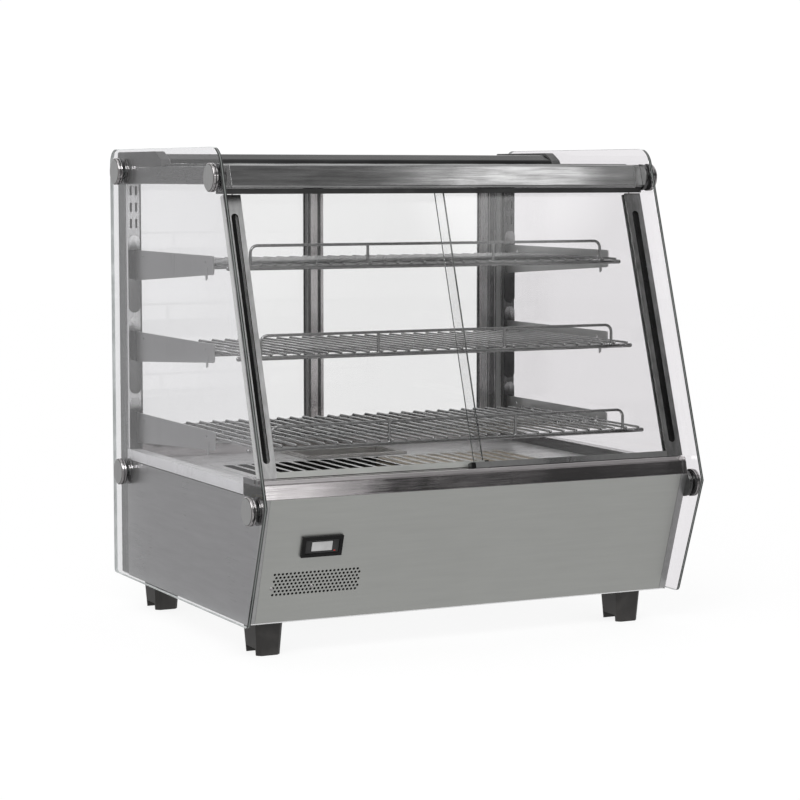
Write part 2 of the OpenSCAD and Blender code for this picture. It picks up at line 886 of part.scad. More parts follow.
module shelf_guards() {
    color("lightgray") for (i = [0:2]) guard(i);
}

// ---- thermometer ----

module thermometer_bezel() {
    color("black") on_front(meter_x, meter_z) difference() {
        union() {
            translate([-meter_w / 2, -meter_h / 2, 0.1]) cube([meter_w, meter_h, 4]);
            translate([-23.7, -12.2, -24]) cube([47.4, 24.4, 24.2]);
        }
        translate([-meter_w / 2 + 5, -meter_h / 2 + 5, 2]) cube([meter_w - 10, meter_h - 10, 4]);
        translate([-15, -7, -20]) cube([30, 14, 25]);
    }
}

module thermometer_display() {
    color("lightgray") on_front(meter_x, meter_z) translate([-14.6, -6.6, -19]) cube([29.2, 13.2, 21.4]);
}

// ---- front doors ----

// The glass of a front door, from its meeting edge at x0 to the stile that ends at x1
module front_door_glass(x0, x1) {
    translate([x0, 3, door_glass_low]) cube([x1 - stile_w + 10 - x0, door_glass_t, door_len + 2]);
}

// Stile with a long finger recess, and a lower profile that holds the glass and ends in a block
module front_door_frame(x0, x1) {
    stile_x = x1 - stile_w;
    slit = 0.1;
    difference() {
        union() {
            translate([stile_x, 0, door_low]) cube([stile_w, door_t, door_len]);
            translate([x0 - door_end_w, 0, door_low])
                cube([stile_x - x0 + door_end_w + 1, door_t, door_profile_h]);
        }
        translate([x0 - slit, 3 - slit, door_glass_low - slit])
            cube([stile_x + 10 - x0 + 2 * slit, door_glass_t + 2 * slit, door_len]);
        translate([stile_x + stile_w / 2 - 0.5, 4, door_low + door_len / 2 - 3]) rotate([90, 0, 0])
            obround(pull_w / 2, door_len - 46, 8);
    }
}

// Cuts a door off level, just above the sill
module above_sill() {
    difference() {
        children();
        box([-bx, front_y, base_top], [bx, deck_front, sill_top + 0.6]);
    }
}

// Tongues of a front door that run in the sill
module front_glides(x0, x1, track) {
    y = door_y + track * track_step;
    for (x = [x0 + 2, x1 - 24])
        box([x, y + 1.8, sill_top - 5.5], [x + 18, y + 5.6, sill_top + 1.8]);
}

// meeting and outer edge of each front door, the left one measured in the mirrored case
front_right = [front_joint_x - door_overlap / 2, door_x + 1];
front_left = [-front_joint_x - door_overlap / 2, door_x - 3.5];

module front_door_right_glass() {
    color([0.8, 0.9, 0.88, 0.3]) on_door(0) front_door_glass(front_right[0], front_right[1]);
}

module front_door_left_glass() {
    color([0.8, 0.9, 0.88, 0.3]) mirror([1, 0, 0])
        on_door(1) front_door_glass(front_left[0], front_left[1]);
}

module front_door_right_frame() {
    color("silver") {
        above_sill() on_door(0) front_door_frame(front_right[0], front_right[1]);
        front_glides(front_right[0], front_right[1], 0);
    }
}

module front_door_left_frame() {
    color("silver") mirror([1, 0, 0]) {
        above_sill() on_door(1) front_door_frame(front_left[0], front_left[1]);
        front_glides(front_left[0], front_left[1], 1);
    }
}

// ---- rear doors ----

// Frame of two stiles and two rails around a pane, with tongues that run in the tracks
module rear_door_frame(x, y, stiles) {
    y0 = y - rear_door_t / 2;
    y1 = y + rear_door_t / 2;
    z = rear_door_z;
    hold = 6.1;
    difference() {
        union() {
            box([x[0], y0, z[0]], [x[1], y1, z[1]]);
            box([x[0], y - 2, z[0] - 6], [x[1], y + 2, z[0] + 1]);
            box([x[0], y - 2, z[1] - 1], [x[1], y + 2, z[1] + 8]);
        }
        box([x[0] + stiles[0], y0 - 1, z[0] + rear_rail_h[0]],
            [x[1] - stiles[1], y1 + 1, z[1] - rear_rail_h[1]]);
        box([x[0] + stiles[0] - hold, y - 2.1, z[0] + rear_rail_h[0] - hold],
            [x[1] - stiles[1] + hold, y + 2.1, z[1] - rear_rail_h[1] + hold]);
    }
}

module rear_door_glass(x, y, stiles) {
    z = rear_door_z;
    hold = 6;
    color([0.8, 0.9, 0.88, 0.3])
        box([x[0] + stiles[0] - hold, y - 2, z[0] + rear_rail_h[0] - hold],
            [x[1] - stiles[1] + hold, y + 2, z[1] - rear_rail_h[1] + hold]);
}

// Obround finger recess in the outer face of a rear stile
module rear_pull(x, y) {
    translate([x, y + rear_door_t / 2 + 1, 430]) rotate([90, 0, 0]) obround(6, 110, 4);
}

module rear_door_right_frame() {
    color("silver") difference() {
        rear_door_frame(rear_right_x, rear_track[0], rear_right_stiles);
        rear_pull(rear_right_x[1] - 10, rear_track[0]);
    }
}

module rear_door_left_frame() {
    color("silver") difference() {
        rear_door_frame(rear_left_x, rear_track[1], rear_left_stiles);
        rear_pull(rear_left_x[1] - 10, rear_track[1]);
    }
}

module rear_door_right_glass() {
    rear_door_glass(rear_right_x, rear_track[0], rear_right_stiles);
}

module rear_door_left_glass() {
    rear_door_glass(rear_left_x, rear_track[1], rear_left_stiles);
}

// ---- water pan ----

module water_pan() {
    deck = deck_z + sheet;
    wall = 1;
    color("silver") difference() {
        union() {
            box([pan_x[0], pan_y[0], pan_floor], [pan_x[1], pan_y[1], deck + 3]);
            box([pan_x[0] - lip, pan_y[0] - lip, deck + 0.2], [pan_x[1] + lip, pan_y[1] + lip, deck + 3.8]);
        }
        box([pan_x[0] + wall, pan_y[0] + wall, pan_floor + wall],
            [pan_x[1] - wall, pan_y[1] - wall, deck + 5]);
    }
}

base_sides();
front_panel();
bottom_plate();
rear_panel();
side_ledges();
front_sill();
rear_sill();
deck_plate();
air_grille();
air_duct();
heat_baffle();
heating_element();
fan_motor();
fan_wheel();
insulation();
thermostat_body();
thermostat_knob();
power_rocker();
light_rocker();
switch_frames();
terminal_block();
wiring_harness();
cable_gland();
feet();
case_screws();
rear_posts();
shelf_standards();
header_rail();
header_end_caps();
header_track();
top_side_bars();
top_glass();
rear_header();
rear_header_caps();
rear_top_track();
lamp_tube();
side_glass_left();
side_glass_right();
stud_caps();
stud_washers();
stud_spacers();
stud_bolts();
brackets_lower();
brackets_middle();
brackets_upper();
shelf_lower();
shelf_middle();
shelf_upper();
shelf_guards();
thermometer_bezel();
thermometer_display();
front_door_left_glass();
front_door_left_frame();
front_door_right_glass();
front_door_right_frame();
rear_door_left_glass();
rear_door_left_frame();
rear_door_right_glass();
rear_door_right_frame();
water_pan();
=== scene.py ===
"""Looks of the heated display case: metals, glass, wire shelves and studio, built round the CAD frame."""
import json
import math

import bmesh
import bpy
from mathutils import Matrix, Vector


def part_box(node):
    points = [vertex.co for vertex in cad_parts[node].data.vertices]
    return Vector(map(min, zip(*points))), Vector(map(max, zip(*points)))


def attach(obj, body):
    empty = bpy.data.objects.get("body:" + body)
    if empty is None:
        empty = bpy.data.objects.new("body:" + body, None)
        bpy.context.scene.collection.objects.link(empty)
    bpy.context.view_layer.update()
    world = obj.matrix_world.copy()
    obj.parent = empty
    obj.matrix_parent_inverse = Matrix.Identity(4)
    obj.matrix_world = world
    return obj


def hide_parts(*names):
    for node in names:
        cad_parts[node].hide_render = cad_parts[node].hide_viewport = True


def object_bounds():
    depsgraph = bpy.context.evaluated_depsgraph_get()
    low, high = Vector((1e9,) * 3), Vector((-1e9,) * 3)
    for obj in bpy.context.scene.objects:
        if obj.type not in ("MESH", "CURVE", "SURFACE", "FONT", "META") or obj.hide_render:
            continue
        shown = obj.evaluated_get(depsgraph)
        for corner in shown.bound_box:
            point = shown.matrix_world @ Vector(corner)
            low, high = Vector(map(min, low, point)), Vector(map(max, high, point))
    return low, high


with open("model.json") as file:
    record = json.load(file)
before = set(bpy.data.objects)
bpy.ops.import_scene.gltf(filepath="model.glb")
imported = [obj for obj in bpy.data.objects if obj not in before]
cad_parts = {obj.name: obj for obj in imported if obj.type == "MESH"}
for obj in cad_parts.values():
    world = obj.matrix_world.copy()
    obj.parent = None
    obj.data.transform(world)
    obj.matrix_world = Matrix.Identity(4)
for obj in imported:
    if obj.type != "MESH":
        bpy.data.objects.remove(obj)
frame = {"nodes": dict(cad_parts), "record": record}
cad_low, cad_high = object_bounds()
MM = 0.001
side_glass_low, side_glass_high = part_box("side_glass_right")
SIDE_GLASS_MIDDLE = (side_glass_low.x + side_glass_high.x) / 2
BODY_OF = {n: b for b, ns in frame["record"]["behaviour"]["bodies"].items() for n in ns}


# ---------------------------------------------------------------- material nodes

FINE_SPAN = (0.3, 0.7)          # where nearly all the values of a fine noise lie
BROAD_SPAN = (0.35, 0.65)       # the same for a broad noise


class Shader:
    """A Principled material and short ways to add the nodes that vary it."""

    def __init__(self, name, **values):
        self.mat = bpy.data.materials.new(name)
        self.mat.use_nodes = True
        self.tree = self.mat.node_tree
        self.bsdf = self.tree.nodes["Principled BSDF"]
        for socket, value in values.items():
            self.bsdf.inputs[socket.replace("_", " ")].default_value = value
        self.place = self.add("ShaderNodeTexCoord").outputs["Object"]

    def add(self, kind, **props):
        node = self.tree.nodes.new(kind)
        for key, value in props.items():
            setattr(node, key, value)
        return node

    def link(self, source, target):
        if isinstance(source, (int, float)):
            target.default_value = source
        else:
            self.tree.links.new(source, target)

    def noise(self, scale, stretch=(1, 1, 1), detail=3.0, roughness=0.55, twist=0.0):
        """Noise of a size in waves per metre, drawn out along the axes where stretch is small."""
        mapping = self.add("ShaderNodeMapping")
        mapping.inputs["Scale"].default_value = stretch
        self.link(self.place, mapping.inputs["Vector"])
        node = self.add("ShaderNodeTexNoise")
        node.inputs["Scale"].default_value = scale
        node.inputs["Detail"].default_value = detail
        node.inputs["Roughness"].default_value = roughness
        node.inputs["Distortion"].default_value = twist
        self.link(mapping.outputs["Vector"], node.inputs["Vector"])
        return node.outputs["Fac"]

    def cells(self, scale):
        """Small cells, so many to the metre."""
        node = self.add("ShaderNodeTexVoronoi", feature="F1")
        node.inputs["Scale"].default_value = scale
        self.link(self.place, node.inputs["Vector"])
        return node.outputs["Distance"]

    def remap(self, value, low, high, to_low, to_high):
        """The value's span from low to high, stretched over the span from to_low to to_high."""
        node = self.add("ShaderNodeMapRange")
        self.link(value, node.inputs["Value"])
        for key, number in zip(("From Min", "From Max", "To Min", "To Max"), (low, high, to_low, to_high)):
            node.inputs[key].default_value = number
        return node.outputs["Result"]

    def split(self, vector, axis):
        node = self.add("ShaderNodeSeparateXYZ")
        self.link(vector, node.inputs["Vector"])
        return node.outputs[axis]

    def maths(self, operation, a, b):
        node = self.add("ShaderNodeMath", operation=operation)
        self.link(a, node.inputs[0])
        self.link(b, node.inputs[1])
        return node.outputs["Value"]

    def blend(self, fac, dark, light):
        node = self.add("ShaderNodeMix", data_type="RGBA")
        self.link(fac, node.inputs["Factor"])
        for key, colour in (("A", dark), ("B", light)):
            socket = [s for s in node.inputs if s.name == key and s.type == "RGBA"][0]
            if isinstance(colour, tuple):
                socket.default_value = (*colour, 1)
            else:
                self.link(colour, socket)
        return [s for s in node.outputs if s.type == "RGBA"][0]

    def bump(self, height, strength, distance):
        node = self.add("ShaderNodeBump")
        node.inputs["Strength"].default_value = strength
        node.inputs["Distance"].default_value = distance
        self.link(height, node.inputs["Height"])
        return node.outputs["Normal"]

    def finish(self, colour, roughness, normal=None):
        """Joins what was worked out to the surface and returns the material."""
        for source, key in ((colour, "Base Color"), (roughness, "Roughness"), (normal, "Normal")):
            if source is not None:
                self.link(source, self.bsdf.inputs[key])
        return self.mat


def grey(tone, tint=(1, 1, 1)):
    return tuple(tone * t for t in tint)


def brushed_steel(name, tone, rough, axis, tint=(1, 1, 1), streak=0.12, cloud=0.06, metal=1.0):
    """Steel with a drawn grain along one axis, faint clouds and rubbed patches."""
    fine = {"X": (0.012, 1, 1), "Y": (1, 0.012, 1), "Z": (1, 1, 0.012)}[axis]
    wide = {"X": (0.08, 1, 1), "Y": (1, 0.08, 1), "Z": (1, 1, 0.08)}[axis]
    s = Shader(name, Metallic=metal)
    hair = s.noise(1400, fine, detail=2)
    band = s.noise(160, wide, detail=4)
    patch = s.noise(7, detail=4, twist=0.4)
    mixed = s.maths("ADD", s.remap(band, *FINE_SPAN, 0, 1 - cloud), s.remap(patch, *BROAD_SPAN, 0, cloud))
    colour = s.blend(mixed, grey(tone * (1 - streak), tint), grey(tone * (1 + streak * 0.6), tint))
    rubbed = s.remap(patch, *BROAD_SPAN, rough - 0.05, rough + 0.05)
    worn = s.maths("ADD", s.remap(hair, *FINE_SPAN, -0.05, 0.05), rubbed)
    return s.finish(colour, worn, s.bump(hair, 0.25, 0.00004))


def polished_steel(name, tone, rough, tint=(1, 1, 1)):
    """Bright drawn or turned steel with fine scuffs and finger marks."""
    s = Shader(name, Metallic=1.0)
    scuff = s.noise(420, detail=5, roughness=0.7)
    marks = s.noise(38, detail=3)
    colour = s.blend(s.remap(marks, *BROAD_SPAN, 0, 1), grey(tone * 0.92, tint), grey(tone, tint))
    worn = s.remap(scuff, *FINE_SPAN, rough * 0.6, rough * 1.5)
    return s.finish(colour, worn, s.bump(scuff, 0.08, 0.00003))


def moulded_plastic(name, tone, rough, tint=(1, 1, 1), pores=900, depth=0.25, shine=0.5):
    """Moulded plastic or rubber with a fine grain, rubbed lighter in places."""
    s = Shader(name, Specular_IOR_Level=shine)
    skin = s.cells(pores)
    rub = s.noise(22, detail=5, twist=0.6)
    colour = s.blend(s.remap(rub, 0.45, 0.75, 0, 1), grey(tone, tint), grey(tone * 1.7 + 0.004, tint))
    return s.finish(colour, s.remap(rub, 0.35, 0.7, rough - 0.06, rough + 0.08), s.bump(skin, depth, 0.00008))


def clear_glass(name, tint):
    """A face of a pane: it lets light straight through and mirrors more and more at a flat angle."""
    s = Shader(name, Metallic=0.0)
    s.tree.nodes.remove(s.bsdf)
    film = s.noise(5, (1, 1, 0.5), detail=3, twist=0.5)
    through = s.add("ShaderNodeBsdfTransparent")
    through.inputs["Color"].default_value = (*tint, 1)
    mirror = s.add("ShaderNodeBsdfGlossy")
    mirror.inputs["Color"].default_value = (1, 1, 1, 1)
    s.link(s.remap(film, *FINE_SPAN, 0.0, 0.03), mirror.inputs["Roughness"])
    angle = s.add("ShaderNodeLayerWeight")
    angle.inputs["Blend"].default_value = 0.5
    share = s.maths("ADD", s.maths("MULTIPLY", s.maths("POWER", angle.outputs["Facing"], 5.0), 0.96), 0.04)
    mix = s.add("ShaderNodeMixShader")
    s.link(share, mix.inputs["Fac"])
    s.link(through.outputs["BSDF"], mix.inputs[1])
    s.link(mirror.outputs["BSDF"], mix.inputs[2])
    s.link(mix.outputs["Shader"], s.tree.nodes["Material Output"].inputs["Surface"])
    return s.mat


def glass_edge(name, dark, light, core=None):
    """Ground edge of a pane. A side glass has a paler core in the middle of its thickness, a painted
    highlight.
    """
    s = Shader(name, Specular_IOR_Level=0.5)
    along = s.noise(26, detail=3, twist=0.5)
    fine = s.noise(700, detail=2)
    colour = s.blend(s.remap(along, 0.4, 0.62, 0, 1), dark, light)
    if core:
        across = s.split(s.place, "X")
        beyond = s.maths("SUBTRACT", s.maths("ABSOLUTE", across, 0.0), SIDE_GLASS_MIDDLE)
        off = s.maths("ABSOLUTE", beyond, 0.0)
        colour = s.blend(s.remap(off, 0.4 * MM, 0.9 * MM, 1, 0), colour, core)
    return s.finish(colour, s.remap(fine, *FINE_SPAN, 0.10, 0.28), s.bump(fine, 0.15, 0.00004))


def plain_varied(name, dark, light, rough, size=60, **values):
    """A dull surface whose tone and roughness drift a little."""
    s = Shader(name, **values)
    drift = s.noise(size, detail=5)
    grain = s.noise(size * 18, detail=2)
    colour = s.blend(s.remap(drift, *BROAD_SPAN, 0, 1), dark, light)
    worn = s.remap(grain, *FINE_SPAN, rough - 0.07, rough + 0.07)
    return s.finish(colour, worn, s.bump(grain, 0.2, 0.0001))


def standard_steel(name, left, right, rough):
    """Slotted standards with painted reflection: the left one gets a light base colour for the bright side of
    the room, the right one a dark one for the dark side.
    """
    s = Shader(name, Metallic=0.6)
    hair = s.noise(1400, (1, 1, 0.012), detail=2)
    patch = s.noise(9, detail=4, twist=0.4)
    # painted reflection: light base colour below X zero, dark above it
    base = s.blend(s.remap(s.split(s.place, "X"), -0.01, 0.01, 0, 1), grey(left), grey(right))
    colour = s.blend(s.remap(patch, *BROAD_SPAN, 0, 0.12), base, grey(right))
    worn = s.remap(hair, *FINE_SPAN, rough - 0.05, rough + 0.05)
    return s.finish(colour, worn, s.bump(hair, 0.25, 0.00004))


def plate_steel(name, dark, light, rough):
    """Polished mounting plates: dark, with a painted highlight, a bright patch of base colour near the round
    top end.
    """
    s = Shader(name, Metallic=1.0)
    patch = s.noise(60, (1, 1, 0.35), detail=3, twist=0.8)
    height = s.split(s.add("ShaderNodeTexCoord").outputs["Generated"], "Z")
    top = s.maths("ADD", height, s.remap(patch, *BROAD_SPAN, -0.05, 0.05))
    # painted highlight: the top of each plate turns light
    colour = s.blend(s.remap(top, 0.80, 0.92, 0, 1), grey(dark), grey(light))
    worn = s.remap(patch, *FINE_SPAN, rough * 0.7, rough * 1.4)
    return s.finish(colour, worn, s.bump(patch, 0.10, 0.0001))


GREENISH = (1.0, 1.012, 0.975)
WARM = (1.0, 0.955, 0.965)
ROSE = (1.0, 0.965, 0.97)
M = {
    "side": brushed_steel("side_panel_steel", 0.60, 0.34, "Y", streak=0.08),
    "front": brushed_steel("front_panel_steel", 0.65, 0.42, "X", GREENISH, streak=0.05, cloud=0.5),
    "header": brushed_steel("header_steel", 0.46, 0.11, "X", streak=0.30),
    "frame": brushed_steel("frame_steel", 0.55, 0.30, "Z", streak=0.10),
    "side_bar": brushed_steel("side_bar_steel", 0.34, 0.30, "Y", streak=0.10),
    "post": brushed_steel("corner_post_steel", 0.25, 0.30, "Z", streak=0.10),
    "pan": brushed_steel("pan_steel", 0.56, 0.28, "X", (1.0, 0.98, 0.95), metal=0.5),
    "sill": brushed_steel("sill_steel", 0.62, 0.09, "X", WARM, streak=0.12),
    # painted shade: a darker copy of the sill steel for the sill's ends
    "sill_end": brushed_steel("sill_end_steel", 0.22, 0.34, "Y", streak=0.12),
    "deck": brushed_steel("deck_steel", 0.84, 0.30, "X", streak=0.04, metal=0.35),
    "edge": polished_steel("worn_steel_edge", 0.70, 0.30),
    # painted light and shade: the two front stiles are the same steel, light on the left door and dark on the
    # right; their outer sides get a paler painted reflection
    "left_stile": brushed_steel("left_stile_steel", 0.72, 0.36, "Z", streak=0.20),
    "right_stile": brushed_steel("right_stile_steel", 0.24, 0.34, "Z", streak=0.35),
    "stile_side": brushed_steel("stile_side_steel", 0.72, 0.40, "Z", GREENISH, streak=0.05, metal=0.4),
    "rear_stile": brushed_steel("rear_stile_steel", 0.24, 0.26, "Z", streak=0.30),
    # painted highlight: the pale rose ribs on the rear door stiles
    "rear_stile_light": brushed_steel("rear_stile_light_steel", 0.92, 0.20, "Z", ROSE, streak=0.08),
    "standard": standard_steel("standard_steel", 0.95, 0.16, 0.25),
    "plate": plate_steel("mounting_plate_steel", 0.16, 0.85, 0.16),
    "bracket": brushed_steel("bracket_steel", 0.66, 0.36, "Z", streak=0.04),
    "dark": brushed_steel("dark_polished_steel", 0.16, 0.18, "X", streak=0.22),
    "header_dark": brushed_steel("rear_header_steel", 0.05, 0.20, "X", streak=0.25),
    # painted shade: a darker copy of the ledge steel for the right ledge
    "ledge_dark": brushed_steel("right_ledge_steel", 0.26, 0.24, "Y", streak=0.15),
    "polished": polished_steel("turned_steel", 0.40, 0.26),
    "wire": polished_steel("wire_chrome", 0.42, 0.05),
    "ring": polished_steel("bright_ring_chrome", 0.62, 0.10, ROSE),
    "cap_face": brushed_steel("cap_face_steel", 0.62, 0.36, "Z", streak=0.04),
    "black": moulded_plastic("black_plastic", 0.012, 0.34),
    "gloss": moulded_plastic("gloss_black_plastic", 0.006, 0.16, depth=0.08, shine=0.2),
    "header_cap": moulded_plastic("header_cap_plastic", 0.050, 0.42, depth=0.15),
    "meter_face": moulded_plastic("meter_face_plastic", 0.030, 0.40, depth=0.10, shine=0.2),
    "foot": moulded_plastic("foot_plastic", 0.022, 0.42, (1.0, 0.93, 0.88)),
    "rubber": moulded_plastic("black_rubber", 0.016, 0.62, pores=1500),
    "white": plain_varied("white_plastic", (0.66, 0.65, 0.60), (0.74, 0.73, 0.69), 0.4),
    "red": plain_varied("red_rocker", (0.42, 0.012, 0.010), (0.55, 0.020, 0.014), 0.3, Coat_Weight=0.4),
    "green": plain_varied("green_rocker", (0.012, 0.25, 0.05), (0.02, 0.34, 0.08), 0.3, Coat_Weight=0.4),
    "glass": clear_glass("pane_face", (0.978, 0.978, 0.978)),
    "left_glass": clear_glass("left_pane_face", (0.967, 0.965, 0.973)),
    "right_glass": clear_glass("right_pane_face", (0.938, 0.928, 0.938)),
    "glass_edge": glass_edge("pane_edge", (0.03, 0.032, 0.032), (0.10, 0.105, 0.10)),
    # painted shade and light: a dark front edge with a light core, pale edges elsewhere
    "dark_edge": glass_edge(
        "side_pane_front_edge", (0.012, 0.013, 0.013), (0.05, 0.053, 0.052), core=(0.16, 0.17, 0.165)),
    "pale_edge": glass_edge("side_pane_edge", (0.50, 0.53, 0.52), (0.66, 0.69, 0.68)),
    "lamp": plain_varied("lamp_tube_glass", (0.78, 0.78, 0.76), (0.84, 0.84, 0.82), 0.25),
    "lcd": plain_varied("lcd_window", (0.34, 0.34, 0.34), (0.44, 0.44, 0.44), 0.2, size=60, Coat_Weight=0.2),
    "duct": plain_varied("blackened_duct", (0.010, 0.010, 0.010), (0.025, 0.024, 0.022), 0.5),
    # painted shade: near black for slot walls and the sheet behind the vents
    "painted_shade_black": plain_varied("painted_shade_black", grey(0.003), grey(0.008), 0.8, Specular_IOR_Level=0.1),
    "baffle": plain_varied("aged_baffle", (0.42, 0.35, 0.26), (0.58, 0.51, 0.41), 0.45, Metallic=0.3),
    "wool": plain_varied("mineral_wool", (0.42, 0.36, 0.16), (0.60, 0.54, 0.30), 0.9, size=200),
    "element": plain_varied("sheathed_element", (0.05, 0.045, 0.04), (0.11, 0.09, 0.075), 0.5, Metallic=1.0),
    "motor": plain_varied("motor_metal", (0.12, 0.12, 0.125), (0.24, 0.24, 0.245), 0.4, Metallic=1.0),
}


# ---------------------------------------------------------------- mesh helpers

def piece(name, bm, body, materials=(), crease=40, replaces=()):
    """Turns a bmesh into an object that rides on a CAD body."""
    mesh = bpy.data.meshes.new(name)
    bmesh.ops.recalc_face_normals(bm, faces=bm.faces)
    for face in bm.faces:
        face.smooth = True
    bm.to_mesh(mesh)
    bm.free()
    mesh.set_sharp_from_angle(angle=math.radians(crease))
    for key in materials:
        mesh.materials.append(M[key])
    obj = bpy.data.objects.new(name, mesh)
    bpy.context.scene.collection.objects.link(obj)
    weighted = obj.modifiers.new("flat faces stay flat", "WEIGHTED_NORMAL")
    weighted.keep_sharp = True
    weighted.weight = 90
    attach(obj, body)
    if replaces:
        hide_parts(*replaces)
    return obj


SHARP_ANGLE = math.radians(32)
SHEET_EDGE = 0.35               # width of a sheet part's eased edge, in mm
THIN_EDGE = 0.3                 # the same on perforated and thin sheet


def eased(node, materials, width, segments=2, shortest=0.0, face_rule=None, cuts=()):
    """The CAD node's own shape as a new piece, with its sharp edges eased so that they catch the light.

    The edges take the last material, or their neighbours' where a face_rule picks one for each face.
    Each cut is an X at which the faces are split, so that face_rule can tell the two sides apart."""
    bm = bmesh.new()
    bm.from_mesh(frame["nodes"][node].data)
    bmesh.ops.remove_doubles(bm, verts=bm.verts, dist=0.01 * MM)
    bmesh.ops.dissolve_limit(bm, angle_limit=math.radians(0.3), verts=bm.verts, edges=bm.edges)
    for x in cuts:
        everything = bm.verts[:] + bm.edges[:] + bm.faces[:]
        bmesh.ops.bisect_plane(bm, geom=everything, dist=0.001 * MM, plane_co=(x, 0, 0), plane_no=(1, 0, 0))
    bm.normal_update()
    if face_rule:
        for face in bm.faces:
            face.material_index = face_rule(face)
    sharp = [
        e for e in bm.edges
        if len(e.link_faces) == 2 and e.calc_length() > shortest * MM
        and e.calc_face_angle(0) > SHARP_ANGLE
    ]
    bmesh.ops.bevel(
        bm, geom=sharp, offset=width * MM, segments=segments, profile=0.5, affect="EDGES",
        clamp_overlap=True, material=-1 if face_rule else len(materials) - 1, harden_normals=False,
    )
    return piece(node + "_piece", bm, BODY_OF[node], materials, replaces=[node])


def sweep(bm, points, radius, sides=14, round_ends=True):
    """Adds a round wire along a line of points, with domed ends."""
    points = [Vector(p) for p in points]
    count = len(points)
    tangents = [
        (points[min(i + 1, count - 1)] - points[max(i - 1, 0)]).normalized() for i in range(count)
    ]
    side = tangents[0].orthogonal().normalized()
    rings = []
    stations = [(points[i], tangents[i], 1.0) for i in range(count)]
    if round_ends:
        dome = [(math.cos(a), math.sin(a)) for a in (math.radians(d) for d in (30, 60, 80))]
        start = [(points[0] - tangents[0] * radius * s * 0.7, tangents[0], c) for c, s in reversed(dome)]
        end = [(points[-1] + tangents[-1] * radius * s * 0.7, tangents[-1], c) for c, s in dome]
        stations = start + stations + end
    for place, along, share in stations:
        side = (side - along * side.dot(along)).normalized()
        up = along.cross(side)
        rings.append([
            bm.verts.new(place + (side * math.cos(t) + up * math.sin(t)) * radius * share)
            for t in (2 * math.pi * k / sides for k in range(sides))
        ])
    for a, b in zip(rings, rings[1:]):
        for k in range(sides):
            bm.faces.new((a[k], a[(k + 1) % sides], b[(k + 1) % sides], b[k]))
    bm.faces.new(list(reversed(rings[0])))
    bm.faces.new(rings[-1])


def bend(corner, start, end, radius, steps=6):
    """Points of an arc that rounds a corner between two straight runs."""
    corner, start, end = Vector(corner), Vector(start), Vector(end)
    u, v = (start - corner).normalized(), (end - corner).normalized()
    half = u.angle(v) / 2
    middle = corner + (u + v).normalized() * radius / math.sin(half)
    first = corner + u * radius / math.tan(half) - middle
    last = corner + v * radius / math.tan(half) - middle
    turn = first.angle(last)
    axis = first.cross(last)
    return [middle + Matrix.Rotation(turn * i / steps, 3, axis) @ first for i in range(steps + 1)]


def wire_path(corners, radius):
    """A bent wire's line: straight runs joined by arcs."""
    points = [Vector(corners[0])]
    for before, here, after in zip(corners, corners[1:], corners[2:]):
        points += bend(here, before, after, radius)
    return points + [Vector(corners[-1])]


def block(bm, low, high, matrix=None):
    """Adds a closed box between two corners."""
    made = bmesh.ops.create_cube(bm, size=1.0)["verts"]
    low, high = Vector(low), Vector(high)
    for v in made:
        v.co = Vector(low[i] + (v.co[i] + 0.5) * (high[i] - low[i]) for i in range(3))
        if matrix:
            v.co = matrix @ v.co
    return made


# ---------------------------------------------------------------- panes

def pane_face(normal_axis):
    """Material rule of a pane: 0 on its two faces, 1 on its edges."""
    def rule(face):
        return 0 if abs(face.normal.dot(normal_axis)) > 0.9 else 1
    return rule


LEAN = math.radians(18)
FLAT_PANES = {"top_glass": (0, 0, 1),
              "rear_door_left_glass": (0, 1, 0), "rear_door_right_glass": (0, 1, 0),
              "front_door_left_glass": (0, math.cos(LEAN), -math.sin(LEAN)),
              "front_door_right_glass": (0, math.cos(LEAN), -math.sin(LEAN))}
for node, axis in FLAT_PANES.items():
    eased(node, ("glass", "glass_edge"), width=0.5, segments=1, face_rule=pane_face(Vector(axis)))


def side_pane_face(face):
    """A side glass: 0 on its two faces, 1 on the front edge in painted shade, 2 on the other edges in painted
    light.
    """
    if abs(face.normal.x) > 0.9:
        return 0
    return 1 if face.normal.y < -0.25 else 2


for side in ("left", "right"):
    eased("side_glass_" + side, (side + "_glass", "dark_edge", "pale_edge"), width=0.5, segments=1,
          face_rule=side_pane_face)

# ---------------------------------------------------------------- steel and plastic parts

STEEL_LOOKS = {
    "base_sides": ("side", "edge"), "rear_posts": ("post", "edge"), "shelf_standards": ("standard", "edge"),
    "rear_sill": ("sill", "edge"), "deck_plate": ("deck", "edge"), "header_rail": ("header", "header"),
    "header_end_caps": ("side_bar", "side_bar"), "top_side_bars": ("side_bar", "edge"),
    "rear_header": ("header_dark", "edge"), "rear_panel": ("side", "edge"),
    "bottom_plate": ("deck", "edge"), "water_pan": ("pan", "ring"),
}
for node, looks in STEEL_LOOKS.items():
    eased(node, looks, width=SHEET_EDGE)
eased("front_panel", ("front", "edge"), width=SHEET_EDGE, shortest=6)

BAFFLE_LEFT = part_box("heat_baffle")[0].x


def grille_face(face):
    """0 the plate, 1 the walls of the slots over the open duct, near black as painted shade. Over the baffle
    they keep the plate's colour.
    """
    return 1 if abs(face.normal.z) < 0.5 and face.calc_center_median().x < BAFFLE_LEFT else 0


def sill_face(face):
    """0 the long faces, 1 the two ends, given a darker steel as painted shade."""
    return 1 if abs(face.normal.x) > 0.9 else 0


def ledge_face(face):
    """0 the left ledge, 1 the right one, given a darker steel as painted shade for the dark side of the room.
    """
    return 1 if face.calc_center_median().x > 0 else 0


eased("air_grille", ("deck", "painted_shade_black"), width=THIN_EDGE, segments=1, face_rule=grille_face)
eased("front_sill", ("sill", "sill_end"), width=SHEET_EDGE, face_rule=sill_face)
eased("side_ledges", ("deck", "ledge_dark"), width=SHEET_EDGE, face_rule=ledge_face)

